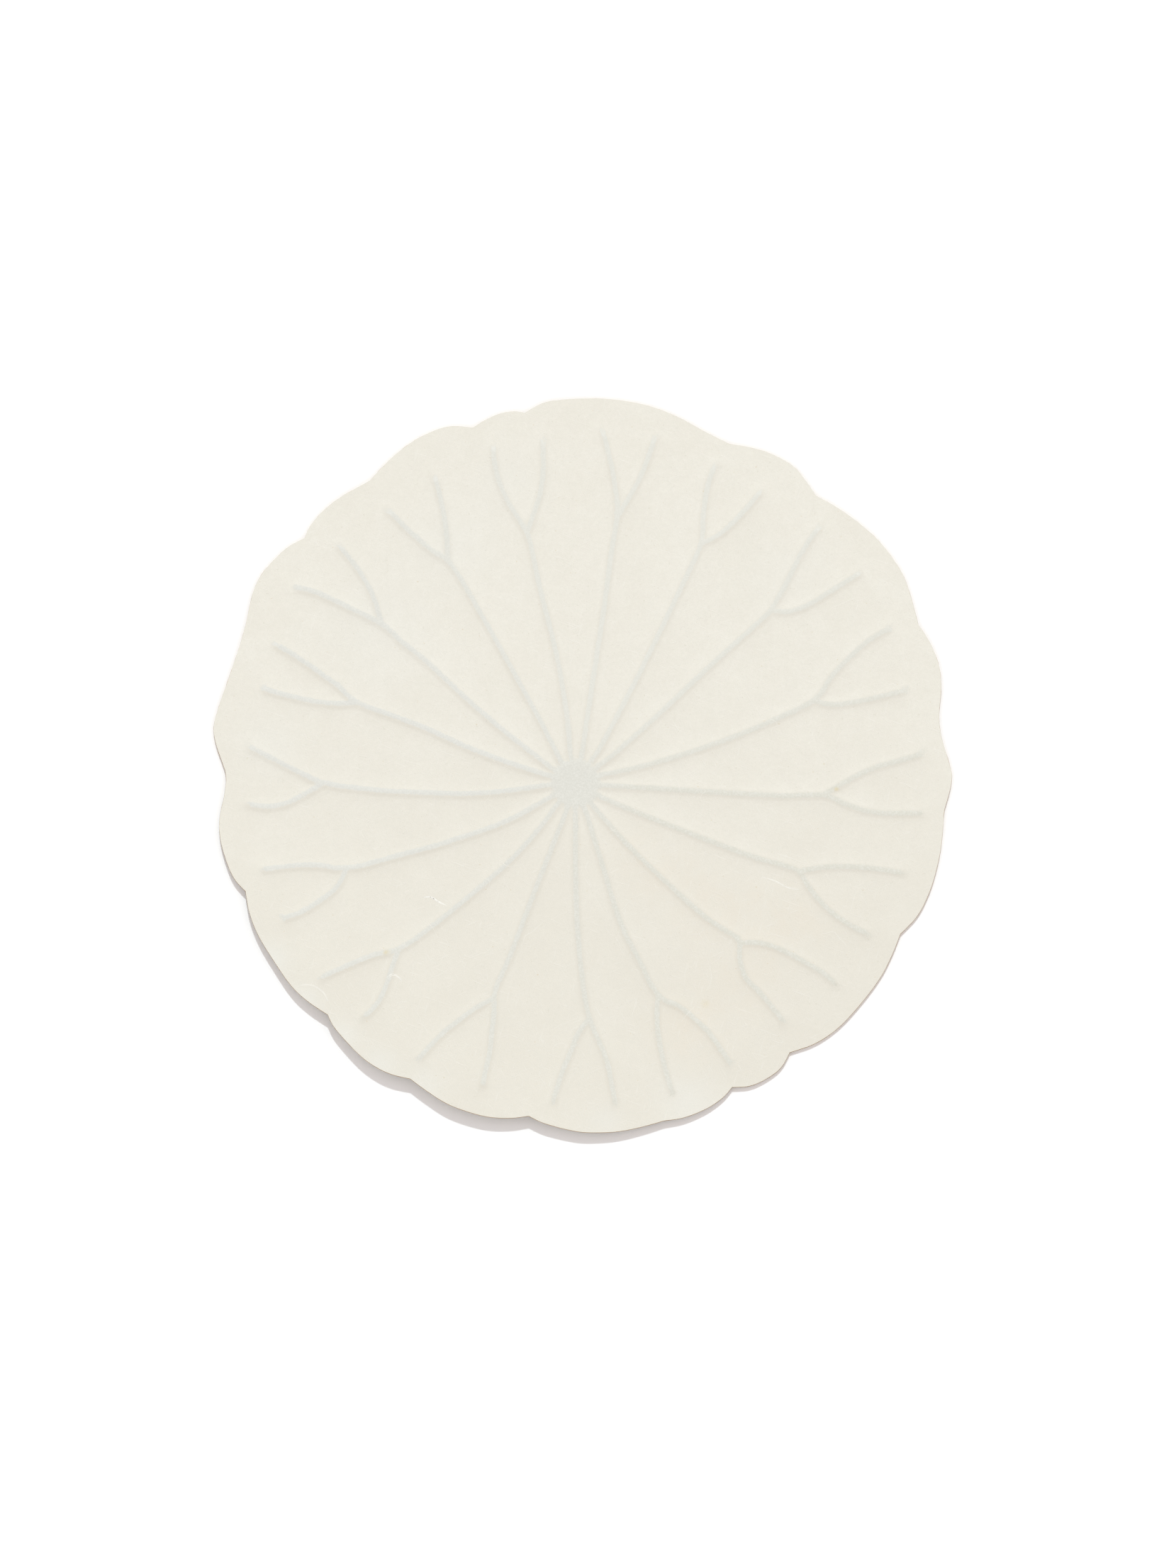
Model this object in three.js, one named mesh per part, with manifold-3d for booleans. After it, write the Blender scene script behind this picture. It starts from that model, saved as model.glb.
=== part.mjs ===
// A place mat in the shape of a lotus leaf. A stiff board is lined underneath and faced on top with
// handmade paper, and the facing is moulded over paper cords that are laid as the leaf's forked veins
// round a small card disc. One side of the leaf has curled up a little, as laminated paper does.
//
// Millimetres, +Z up. The leaf is drawn about its hub and then centred, so that the origin is under the
// middle of the whole mat, on the surface that it lies on.

import * as THREE from 'three';
import { mergeVertices } from 'three/addons/utils/BufferGeometryUtils.js';
import Module from 'manifold-3d';

const wasm = await Module();
wasm.setup();

// Thicknesses, from the surface that the mat lies on upwards. PASTE is the line of paste in between.
const PAPER = 0.25;
const PASTE = 0.05;
const BOARD = 0.9;

// A cord has a flattened section, wide at its foot. CORD_CROWN is the part of its width that is flat on
// top, CORD_STEP the length of its straight stretches, CORD_GAP the paste between it and the paper, and
// BUTT_GAP the space where a branch meets the cord that it leaves.
const CORD_WIDTH = 2.1;
const CORD_HEIGHT = 0.4;
const CORD_CROWN = 0.5;
const CORD_STEP = 9;
const CORD_GAP = 0.1;
const BUTT_GAP = 0.3;

const DISC_RADIUS = 10.5;
const DISC_HEIGHT = 0.4;
const DISC_BEVEL = 0.25;
const DISC_SIDES = 40;

// The curl rises with the square of the distance past a straight line across the leaf, and comes to
// CURL_LIFT at CURL_REACH past that line.
const CURL_HEADING = THREE.MathUtils.degToRad(-119);
const CURL_START = 50;
const CURL_REACH = 106;
const CURL_LIFT = 4.8;
const CURL_STEP = 16;

// How finely the rim is divided, and the sizes of the solids that only cut others.
const RIM_SEGMENTS = 2;
const BEYOND_RIM = 200;
const CLEAR_OF_LEAF = 20;
const BLOCK_WIDTH = 6;
const BLOCK_HEIGHT = 30;

const boardBottom = PAPER + PASTE;
const boardTop = boardBottom + BOARD;
const facingBottom = boardTop + PASTE;
const facingTop = facingBottom + PAPER;

// The rim and the veins are drawn a little short from top to bottom, and are lengthened by this much.
const LENGTHEN = 1.0046;

// The rim, clockwise from the notch beside the top lobe. Each row is one lobe, and the last point of a
// row is the notch where the next lobe starts.
const RIM_START = [-23.5, 171.3];
const LOBES = [
  [[-17, 175], [-10, 177], [10, 178], [30, 175.5], [46, 170], [60, 162.5], [71, 157]],
  [[80, 155.5], [90, 152.5], [100, 147], [105, 141.5], [111, 133]],
  [[120, 128], [130, 121], [140, 112], [149, 100], [153.5, 90], [158, 73.5]],
  [[163.5, 65], [167.5, 54.5], [168.5, 44], [167.5, 32], [168.5, 22], [172, 10], [173.3, 2], [169.8, -12.5]],
  [[169, -22.5], [168, -31], [166, -40], [163, -49.5], [157.5, -60.5], [149.5, -69]],
  [[145.5, -79], [140, -89.5], [130.5, -102], [120.5, -112.5], [110, -119.5], [98.5, -123.5]],
  [[94.5, -130.5], [88, -135.5], [80, -139], [72, -139.5]],
  [[67.5, -144.5], [60, -149.5], [50, -153.5], [41, -155]],
  [[30, -158], [20, -160], [10, -160.6], [0, -160], [-14, -156.5], [-21.5, -153]],
  [[-30, -154], [-40, -153.5], [-50, -151], [-60, -147], [-70, -140.5], [-76, -136]],
  [[-84.5, -134], [-92, -130.5], [-100, -124.5], [-110.5, -113], [-114, -106.5]],
  [[-123, -100.5], [-131, -93], [-140, -80], [-146, -70], [-150, -60], [-152, -49.5]],
  [
    [-157, -44], [-160.5, -36.5], [-163.5, -26], [-164, -16], [-161.7, -4.5], [-161.2, 5], [-165, 16],
    [-166.8, 25], [-165, 34], [-159.5, 50], [-153, 70], [-149, 87.5], [-145, 96.5], [-138.5, 104],
    [-132.5, 109.5], [-125, 113.5],
  ],
  [[-122.5, 119], [-117, 125.5], [-109, 132], [-95, 140]],
  [[-87, 148.5], [-79.5, 155], [-71, 160.5], [-59, 165], [-47.5, 164.5]],
  [[-41, 168.4], [-35, 171], [-28.5, 172], [-23.5, 171.3]],
];

// The veins, clockwise from the top. A stem runs from beside the disc to its fork, the arm carries the
// same cord on from there, and the branch is a second cord that starts at the fork.
const VEINS = [
  {
    stem: [[3, 14], [7.5, 44.5], [13, 80], [17, 110], [19, 122]],
    arm: [[19, 130], [17.5, 141.5], [15, 153], [12.5, 162.5]],
    branch: [[23.5, 130], [28.5, 138.5], [33, 149], [36.5, 159.5]],
  },
  {
    stem: [[10.5, 15], [21, 34.5], [34, 60], [53, 99.5], [58, 111]],
    arm: [[58.5, 118.5], [59.5, 128], [61, 137.5], [64.5, 147]],
    branch: [[63.5, 113], [70.5, 118.5], [78, 126], [85.5, 135]],
  },
  {
    stem: [[16.5, 12.5], [39.5, 33], [60, 52.5], [80, 70.5], [90, 80]],
    arm: [[93, 85], [98.5, 95], [104.5, 107], [112, 118]],
    branch: [[94.5, 79], [103, 80.5], [110, 84], [118, 89], [131, 97]],
  },
  {
    stem: [[12.5, 4], [30.5, 8], [60, 17], [80, 24.5], [104.5, 35.5], [110.5, 38.5]],
    arm: [[116.5, 47.5], [126, 58], [136.5, 67], [144.5, 71.5]],
    branch: [[115, 37], [120.5, 36.5], [135, 39], [151.5, 43]],
  },
  {
    stem: [[16.5, -1], [35.5, -2], [60, -3.5], [100, -5.5], [114.5, -5]],
    arm: [[119, -7], [125, -9.5], [136.5, -13], [152, -13.5], [159.5, -13.5]],
    branch: [[119, -2.5], [123.5, 0.5], [136.5, 7], [152, 11.5], [159.5, 14]],
  },
  {
    stem: [[11, -6], [30.5, -14], [60, -25.5], [80, -33], [103, -40.5]],
    arm: [[105, -44], [109, -49.5], [115, -56.5], [121, -61.5], [127.5, -65.5], [135, -69]],
    branch: [[107.5, -39], [115, -38.5], [123.5, -38], [138, -39], [151, -41]],
  },
  {
    stem: [[9, -11.5], [22.5, -26.5], [42, -45.5], [60, -61.5], [76, -73.5]],
    arm: [[75.5, -79.5], [76.5, -85], [78.5, -89.5], [83.5, -94.5], [89, -101], [96, -109.5]],
    branch: [[79.5, -73], [86, -73.5], [96.5, -77], [104, -81.5], [112, -85.5], [120, -92.5]],
  },
  {
    stem: [[6, -17], [12.5, -38], [20.5, -63.5], [27.5, -78], [32, -86.5], [38, -98]],
    arm: [[43, -99.5], [48.5, -103], [54.5, -108], [60.5, -113.5], [66, -121], [71.5, -129]],
    branch: [[37.5, -101.5], [37.5, -110], [38.5, -118.5], [40, -126], [42, -134], [44.5, -142]],
  },
  {
    stem: [[0, -13.5], [0, -39.5], [1, -68], [4.5, -100], [6.5, -108]],
    arm: [[8, -112.5], [10.5, -118.5], [14, -125.5], [15.5, -133], [17, -140.5], [18.5, -147.5]],
    branch: [[2.5, -112.5], [0, -118.5], [-4, -127.5], [-7, -135.5], [-10.5, -147.5]],
  },
  {
    stem: [[-4.5, -13.5], [-17, -45], [-29, -76.5], [-38, -99.5]],
    arm: [[-37.5, -106], [-38.5, -114], [-39.5, -124], [-41.5, -133], [-43, -140]],
    branch: [[-42, -101], [-52, -108], [-58, -112.5], [-63.5, -117.5], [-72, -127]],
  },
  {
    stem: [[-9.5, -11], [-14, -17.5], [-29.5, -35], [-49.5, -52.5], [-69.5, -68.5], [-81.5, -76.5]],
    arm: [[-90.5, -78.5], [-97, -81], [-104, -83.5], [-110, -86.5], [-117, -89.5]],
    branch: [[-83, -81], [-85, -86.5], [-87, -93], [-90.5, -100], [-93.5, -105], [-98, -108]],
  },
  {
    stem: [[-11, -6], [-29.5, -16.5], [-60, -27.5], [-80, -33], [-106, -39.5]],
    arm: [[-111, -39], [-118.5, -38], [-127.5, -38], [-144.5, -40]],
    branch: [[-107, -43], [-110, -48], [-115.5, -52.5], [-123, -58], [-135, -62.5]],
  },
  {
    stem: [[-14, -1], [-30, -3.5], [-50, -5], [-70, -4.5], [-90, -3.5], [-116, 0]],
    arm: [[-124.5, 3.5], [-130.5, 6.5], [-137.5, 10], [-150, 16.5]],
    branch: [[-119, -2], [-124.5, -5], [-133.5, -9.5], [-140, -11], [-151, -9.5]],
  },
  {
    stem: [[-14, 4], [-30, 9], [-50, 16.5], [-70, 25.5], [-90, 33], [-101, 37]],
    arm: [[-105.5, 41], [-111, 46], [-118.5, 51], [-126, 56.5], [-138.5, 64]],
    branch: [[-105.5, 37], [-111, 36.5], [-117, 37], [-132, 40], [-144, 43.5]],
  },
  {
    stem: [[-11, 7], [-30, 21.5], [-50, 38.5], [-70, 57], [-80, 65], [-89.5, 73.5]],
    arm: [[-95.5, 76.5], [-107, 82], [-120, 88], [-129, 90]],
    branch: [[-91, 79], [-93, 85], [-96, 91.5], [-100, 98], [-109, 109.5]],
  },
  {
    stem: [[-7, 10.5], [-17, 30], [-28, 50], [-42, 75], [-59, 102.5]],
    arm: [[-66, 107], [-70.5, 111], [-76, 115.5], [-86, 125.5]],
    branch: [[-59, 107], [-60, 118.5], [-61.5, 127.5], [-65, 141.5]],
  },
  {
    stem: [[-2.5, 13.5], [-4, 31], [-9, 60], [-16, 88], [-22.5, 115.5]],
    arm: [[-26, 121.5], [-30.5, 128.5], [-34.5, 137], [-37, 145.5], [-38, 155.5]],
    branch: [[-20.5, 120], [-18.5, 127.5], [-16, 134.5], [-15, 143], [-15, 158.5]],
  },
];

const washi = { color: 0xefece1, roughness: 0.9, metalness: 0 };
const strawboard = { color: 0xc3ab84, roughness: 0.95, metalness: 0 };
const cordPaper = { color: 0xe6e5dc, roughness: 0.9, metalness: 0 };
const discCard = { color: 0xe4e3da, roughness: 0.9, metalness: 0 };

// Solids.

function toSolid(geometry) {
  geometry.deleteAttribute('normal');
  geometry.deleteAttribute('uv');
  const merged = mergeVertices(geometry);
  const vertProperties = merged.attributes.position.array;
  const triVerts = new Uint32Array(merged.index.array);
  return new wasm.Manifold(new wasm.Mesh({ numProp: 3, vertProperties, triVerts }));
}

function toPiece(name, solid, finish) {
  const { vertProperties, triVerts } = solid.getMesh();
  const geometry = new THREE.BufferGeometry();
  geometry.setAttribute('position', new THREE.BufferAttribute(vertProperties, 3));
  geometry.setIndex(new THREE.BufferAttribute(triVerts, 1));
  geometry.computeVertexNormals();
  const piece = new THREE.Mesh(geometry, new THREE.MeshStandardMaterial(finish));
  piece.name = name;
  return piece;
}

// The curl.

function liftPast(distance) {
  const past = Math.max(0, distance - CURL_START);
  return CURL_LIFT * (past / CURL_REACH) ** 2;
}

function curl(geometry) {
  const place = geometry.attributes.position;
  for (let i = 0; i < place.count; i += 1) {
    const distance = place.getX(i) * Math.cos(CURL_HEADING) + place.getY(i) * Math.sin(CURL_HEADING);
    place.setZ(i, place.getZ(i) + liftPast(distance));
  }
  return geometry;
}

// The leaf's layers: the outline as a tall prism, cut by a slab that is bent along the curl.

function lengthened([x, y]) {
  return new THREE.Vector2(x, y * LENGTHEN);
}

function leafOutline() {
  const rim = new THREE.Shape();
  rim.moveTo(...lengthened(RIM_START));
  for (const lobe of LOBES) {
    rim.splineThru(lobe.map(lengthened));
  }
  return rim;
}

function leafPrism() {
  const depth = CLEAR_OF_LEAF * 2;
  const prism = new THREE.ExtrudeGeometry(leafOutline(), {
    depth,
    curveSegments: RIM_SEGMENTS,
    bevelEnabled: false,
  });
  return toSolid(prism.translate(0, 0, -CLEAR_OF_LEAF));
}

function bentSlab(bottom, top) {
  const stations = [-BEYOND_RIM];
  for (let along = CURL_START; along < BEYOND_RIM; along += CURL_STEP) {
    stations.push(along);
  }
  const under = stations.map((along) => new THREE.Vector2(along, bottom + liftPast(along)));
  const over = stations.map((along) => new THREE.Vector2(along, top + liftPast(along)));
  const side = new THREE.Shape([...under, ...over.reverse()]);
  const slab = new THREE.ExtrudeGeometry(side, { depth: 2 * BEYOND_RIM, bevelEnabled: false });
  slab.translate(0, 0, -BEYOND_RIM);
  slab.rotateX(Math.PI / 2);
  slab.rotateZ(CURL_HEADING);
  return toSolid(slab);
}

// The cords, and the ridges and grooves of the paper over them. A section stands a margin outside the
// cord's own, with its sloping sides carried down to its foot. It is drawn with its height along -X, the
// way that a section is carried along a path in the XY plane.

function cordSection(margin, foot) {
  const half = CORD_WIDTH / 2 + margin;
  const crown = facingBottom + CORD_HEIGHT + margin;
  const flat = half * CORD_CROWN;
  const spread = half + ((half - flat) * (facingBottom - foot)) / (crown - facingBottom);
  return new THREE.Shape([
    new THREE.Vector2(-foot, -spread),
    new THREE.Vector2(-foot, spread),
    new THREE.Vector2(-crown, flat),
    new THREE.Vector2(-crown, -flat),
  ]);
}

function endBlock(end, inner, reach) {
  const block = new THREE.BoxGeometry(2 * reach, BLOCK_WIDTH, BLOCK_HEIGHT);
  block.rotateZ(Math.atan2(end.y - inner.y, end.x - inner.x));
  return toSolid(block.translate(end.x, end.y, 0));
}

function sweep(route, margin, foot, cutBack = 0) {
  const path = new THREE.CatmullRomCurve3(route.map((point) => new THREE.Vector3(...lengthened(point), 0)));
  const steps = Math.round(path.getLength() / CORD_STEP);
  const section = cordSection(margin, foot);
  const cord = new THREE.ExtrudeGeometry(section, { steps, extrudePath: path, bevelEnabled: false });
  const solid = toSolid(curl(cord));
  if (cutBack === 0) {
    return solid;
  }
  const stations = path.getSpacedPoints(steps);
  const first = endBlock(stations[0], stations[1], cutBack);
  const last = endBlock(stations[steps], stations[steps - 1], cutBack);
  return solid.subtract(first).subtract(last);
}

function disc(margin, foot) {
  const radius = DISC_RADIUS + margin;
  const crown = facingBottom + DISC_HEIGHT + margin;
  const side = [
    new THREE.Vector2(0, foot),
    new THREE.Vector2(radius, foot),
    new THREE.Vector2(radius, crown - DISC_BEVEL),
    new THREE.Vector2(radius - DISC_BEVEL, crown),
    new THREE.Vector2(0, crown),
  ];
  const turned = new THREE.LatheGeometry(side, DISC_SIDES);
  return toSolid(turned.rotateX(Math.PI / 2));
}

function cordRoutes() {
  const routes = [];
  VEINS.forEach(({ stem, arm, branch }, index) => {
    const name = `vein_${String(index + 1).padStart(2, '0')}`;
    routes.push({ name: `${name}_cord`, route: [...stem, ...arm] });
    routes.push({ name: `${name}_branch`, route: [stem.at(-1), ...branch], from: [...stem, ...arm] });
  });
  return routes;
}

function cordSolid({ route, from }) {
  const cord = sweep(route, 0, facingBottom, PAPER + CORD_GAP);
  return from ? cord.subtract(sweep(from, BUTT_GAP, boardBottom)) : cord;
}

function facingSolid(leaf, routes) {
  let facing = leaf.intersect(bentSlab(facingBottom, facingTop));
  const middle = (facingBottom + facingTop) / 2;
  for (const { route } of routes) {
    facing = facing.add(sweep(route, CORD_GAP + PAPER, middle));
  }
  facing = facing.add(disc(CORD_GAP + PAPER, middle));
  for (const { route } of routes) {
    facing = facing.subtract(sweep(route, CORD_GAP, boardBottom, PAPER));
  }
  return facing.subtract(disc(CORD_GAP, boardBottom));
}

function build() {
  const leaf = leafPrism();
  const routes = cordRoutes();
  const mat = new THREE.Group();
  mat.add(toPiece('back_washi', leaf.intersect(bentSlab(0, PAPER)), washi));
  mat.add(toPiece('core_board', leaf.intersect(bentSlab(boardBottom, boardTop)), strawboard));
  for (const cord of routes) {
    mat.add(toPiece(cord.name, cordSolid(cord), cordPaper));
  }
  mat.add(toPiece('hub_disc', disc(0, facingBottom), discCard));
  mat.add(toPiece('top_washi', facingSolid(leaf, routes), washi));

  const extent = new THREE.Box3().setFromObject(mat);
  const middle = extent.getCenter(new THREE.Vector3());
  mat.position.set(-middle.x, -middle.y, 0);
  return mat;
}

export default build();
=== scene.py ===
"""Looks of a place mat in the shape of a lotus leaf: handmade paper, moulded over cords and a card disc
that are pasted on a stiff board, with a plainer paper under it. One side of it has curled up."""

import math
import random

import bpy
import numpy as np
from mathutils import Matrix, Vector
from mathutils.geometry import delaunay_2d_cdt
from mathutils.kdtree import KDTree


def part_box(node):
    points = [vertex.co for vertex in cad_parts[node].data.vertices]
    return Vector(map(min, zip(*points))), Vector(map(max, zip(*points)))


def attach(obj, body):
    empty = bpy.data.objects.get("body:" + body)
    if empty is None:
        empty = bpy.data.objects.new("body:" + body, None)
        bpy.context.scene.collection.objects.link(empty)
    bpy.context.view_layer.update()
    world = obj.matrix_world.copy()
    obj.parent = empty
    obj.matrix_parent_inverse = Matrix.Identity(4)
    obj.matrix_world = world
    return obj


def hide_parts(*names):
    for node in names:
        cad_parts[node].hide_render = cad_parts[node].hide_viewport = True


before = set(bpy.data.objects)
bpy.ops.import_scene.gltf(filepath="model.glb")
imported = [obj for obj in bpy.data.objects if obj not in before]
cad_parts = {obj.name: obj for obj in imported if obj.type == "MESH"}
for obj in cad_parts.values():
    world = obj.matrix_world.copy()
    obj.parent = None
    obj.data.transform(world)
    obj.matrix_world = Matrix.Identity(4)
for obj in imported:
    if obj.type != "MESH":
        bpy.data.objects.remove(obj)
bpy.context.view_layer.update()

MM = 0.001
ROOT = "root"

# The view: how much of the table the picture takes in from top to bottom, and its middle, from the hub.
VIEW_HEIGHT = 722.5 * MM
VIEW_OFFSET = (5.7 * MM, 0.0)
VIEW_DISTANCE = 10.0
VIEW_ELEVATION = math.radians(84.5)
SENSOR = 36.0

# The light: what a level white surface gives back, how it is shared, and the tints of the two sources.
LIGHT_LEVEL = 1.2
SUN_SHARE = 0.31
SUN_TINT = (0.9, 1.0, 1.03)
SKY_TINT = (1.0, 0.95, 0.935)
SUN_ELEVATION = math.radians(45)
SUN_SIZE = math.radians(2)

# The paper over the cords: it falls steeply beside a cord and then slopes gently down to the board. Each
# part is a share of the height, and the distances from the cord's middle where it starts and ends.
RIDGE_PARTS = ((0.42, 0.5 * MM, 3.1 * MM), (0.58, 0.0, 8.0 * MM))
RIDGE_ABOVE_CORD = 0.1 * MM
# How sharply two ridges, or a ridge and the disc, keep their own shape where they meet.
RIDGE_BLEND = 6
# The slight unevenness of pasted paper, made up of waves of these lengths.
COCKLE_HEIGHT = 0.03 * MM
COCKLE_SIZES = (22 * MM, 70 * MM)
COCKLE_WAVES = 24
COCKLE_BASE = 1.5

# How finely things are divided: centre lines, the rim, the open paper, the rows beside a cord.
LINE_STEP = 0.25 * MM
RIM_STEP = 1.0 * MM
FIELD_STEP = 3.0 * MM
CORD_CLEAR = 3.2 * MM
PLAIN_STEP = 7.0 * MM
PLAIN_CLEAR = 3.0 * MM
ROW_STEP = 1.6 * MM
ROW_OFFSETS = (0.0, 0.55, 1.0, 1.5, 2.1, 2.9)
FOLD_OFFSETS = (0.0, 0.5, 1.0)
CLOSEST = 0.3 * MM
# The knife went in a little slanted: how far out each layer's cut edge is below its upper side.
BOARD_SLANT = 0.12 * MM
PAPER_SLANT = 0.02 * MM
BOARD_INSET = 0.03 * MM
LINING_OUTSET = BOARD_SLANT - 0.05 * MM
# A rim corner that turns back more than NOTCH_TURN is a notch, and one that turns less than
# STRAIGHT_TURN, in radians, is no corner.
NOTCH_TURN = math.radians(-13)
STRAIGHT_TURN = 0.001
DISC_RINGS = (-3.0, -1.8, -1.0, -0.4, 0.1, 0.6, 1.1, 1.7, 2.5)
DISC_RING_STEP = 1.2 * MM

# How far the cut edges are frayed.
BOARD_FRAY = 0.07 * MM
PAPER_FRAY = 0.05 * MM

# The cords: half their width, one turn of their twist, and how far short of its fork a branch is cut.
CORD_HALF = 1.05 * MM
CORD_PITCH = 9 * MM
CORD_SIDES = 12
FORK_GAP = 1.5 * MM

# The disc's edge is rounded this far in.
DISC_MARGIN = 1.05 * MM

# The cords show through the paper as a cooler tint. It is bluest on one side of the hub, partly their own
# tint and partly a painted bluish sheen, which is drifted towards the window there; and the cords are
# painted lighter on the window side of the hub. Each pair is the distances over which something fades out:
# the hub's own tint, the cords' tint, the disc's tint and the painted shade beside a cord.
BLUE_WAY = math.radians(160)
LIGHT_WAY = math.radians(72)
HUB_BLUE = 0.6
HUB_FADE = (4 * MM, 34 * MM)
CORD_FADE = (0.75 * MM, 1.45 * MM)
CARD_FADE = (-0.2 * MM, 3.5 * MM)
SHADE_FADE = (0.7 * MM, 3.0 * MM)
# How far the cords' tint is drifted towards the window by the painted sheen, and the painted shade beside a
# cord away from it.
BLUE_SHEEN_DRIFT = 0.6 * MM
SHADE_DRIFT = 0.25 * MM

# Small folds in the paper, in millimetres from the hub, and how high and how wide they stand.
CREASES = [
    [(17, -70.5), (19.5, -69), (23, -69.5), (26, -68.5)],
    [(128, -70), (130, -78), (134, -86), (136, -95)],
    [(122, -80), (125.5, -86), (127, -92)],
    [(-15, 88), (-9, 90), (-4, 89)],
]
CREASE_HEIGHT = 0.05 * MM
# Where the painted highlight and painted shade sit at each cord's end: how far past the end, and how far
# they spread.
TIP_AHEAD = 0.4 * MM
TIP_SIZE = 1.1 * MM
CREASE_WIDTH = 0.7 * MM

# Paler places, with a row along the curled-up lower left rim: millimetres from the hub, how far they
# spread, how strongly.
PALE_PATCHES = [
    (-92, 72, 24, 0.25),
    (-58, 112, 18, 0.25),
    (-30, 142, 14, 0.25),
    (52, -147, 13, 0.45),
    (14, -156, 8, 0.35),
    (-142, 18, 13, 0.25),
    (96, 96, 16, 0.15),
    (-140, -82, 8, 0.6),
    (-126, -102, 8, 0.6),
    (-108, -118, 8, 0.5),
    (-90, -130, 8, 0.5),
    (-70, -140, 8, 0.4),
]

# The tent's brightness near the horizon, the share of its light that comes from there, and its
# brightness overhead, which makes up the rest. It goes from one to the other between the two heights of
# SKY_RISE, where 0 is the horizon and 1 is overhead.
SKY_LOW = 1.06
SKY_LOW_SHARE = 0.2
SKY_RISE = (0.2, 0.6)
SKY_HIGH = (LIGHT_LEVEL * (1 - SUN_SHARE) - SKY_LOW_SHARE * SKY_LOW) / (1 - SKY_LOW_SHARE)

# The loose fibres on the paper.
FIBRE_COUNT = 220
FIBRE_SPREAD = 168 * MM
FIBRE_CLEAR = 1.5 * MM
FIBRE_HALF_HEIGHT = 0.045 * MM
FIBRE_LENGTHS = (5, 17)
FIBRE_WIDTHS = (0.10, 0.28)
FIBRE_TONES = (0.0, 0.35)
FIBRE_SIDES = 6
STRAND_STEP = 0.6 * MM
# The fibres that stand out: millimetres from the hub, width, and how bright. Each is a bundle of threads
# that lie up to about BUNDLE_SWAY millimetres apart and waver by THREAD_WAVER at every step.
BUNDLE_THREADS = 3
BUNDLE_SWAY = 0.25
THREAD_WAVER = 0.035
THREAD_STEP = 0.5 * MM
BRIGHT_FIBRES = [
    ([(-70, -52.5), (-67, -52.2), (-63, -54.5), (-60, -56)], 0.6, 0.85),
    ([(86, -43), (93, -45.5), (98, -48), (103, -48.5)], 0.35, 0.6),
    ([(-86, -89), (-84, -88), (-82, -89), (-80, -91)], 0.5, 0.55),
    ([(-128, -94), (-122, -93.5), (-117, -96), (-114, -101)], 0.5, 0.4),
]

# Warmer places, and yellow flecks of bark, set down in the same way.
WARM_PATCHES = [
    (42, -42, 16, 0.5),
    (66, -60, 20, 0.6),
    (100, -62, 18, 0.7),
    (52, -112, 18, 0.7),
    (78, -92, 16, 0.5),
    (24, -30, 12, 0.4),
]
FLECKS = [
    (120, -2.5, 0.8, 0.7),
    (-87, -78, 1.0, 0.7),
    (-104, -86, 0.6, 0.4),
    (76, -97.5, 0.6, 0.5),
    (59, -101.5, 1.2, 0.3),
]


# ---------------------------------------------------------------- numbers read from the CAD frame


def node_points(name):
    """A CAD node's corners, each once."""
    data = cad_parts[name].data
    flat = np.empty(3 * len(data.vertices))
    data.vertices.foreach_get("co", flat)
    return np.unique(flat.reshape(-1, 3).round(6), axis=0)


def layer(name):
    """The bottom and top of a layer where the mat lies flat, at its furthest point from the curl."""
    points = node_points(name)
    far = points[points[:, 1] > points[:, 1].max() - 1e-5]
    return far[:, 2].min(), far[:, 2].max()


def smoothstep(low, high, value):
    """From 0 at low to 1 at high, with level ends."""
    t = np.clip((value - low) / (high - low), 0, 1)
    return t * t * (3 - 2 * t)


def smooth_line(points, step):
    """A smooth line through points, as places about step apart."""
    points = np.asarray(points, float)
    if len(points) < 3:
        slope_order = 1
    else:
        slope_order = 2
    chord = np.hypot(*np.diff(points, axis=0).T)
    at = np.concatenate([[0], np.cumsum(chord)])
    slope = np.gradient(points, at, axis=0, edge_order=slope_order)
    places = np.linspace(0, at[-1], max(2, round(at[-1] / step) + 1))
    i = np.clip(np.searchsorted(at, places, side="right") - 1, 0, len(chord) - 1)
    h = chord[i][:, None]
    t = (places - at[i])[:, None] / h
    start = (1 + 2 * t) * (1 - t) ** 2 * points[i] + t * (1 - t) ** 2 * h * slope[i]
    end = t * t * (3 - 2 * t) * points[i + 1] + t * t * (t - 1) * h * slope[i + 1]
    return start + end


DISC_LOW, DISC_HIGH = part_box("hub_disc")
HUB = np.array([(DISC_LOW.x + DISC_HIGH.x) / 2, (DISC_LOW.y + DISC_HIGH.y) / 2])
DISC_RADIUS = (DISC_HIGH.x - DISC_LOW.x) / 2
LINING_HIGH = layer("back_washi")[1]
BOARD_LOW, BOARD_HIGH = layer("core_board")
FACE_LOW, FACE_HIGH = layer("top_washi")
PAPER = FACE_HIGH - FACE_LOW
CORD_LOW, CORD_HIGH = (corner.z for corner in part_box("vein_01_cord"))
CORD_HEIGHT = CORD_HIGH - CORD_LOW
RIDGE = CORD_HEIGHT + RIDGE_ABOVE_CORD


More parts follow.
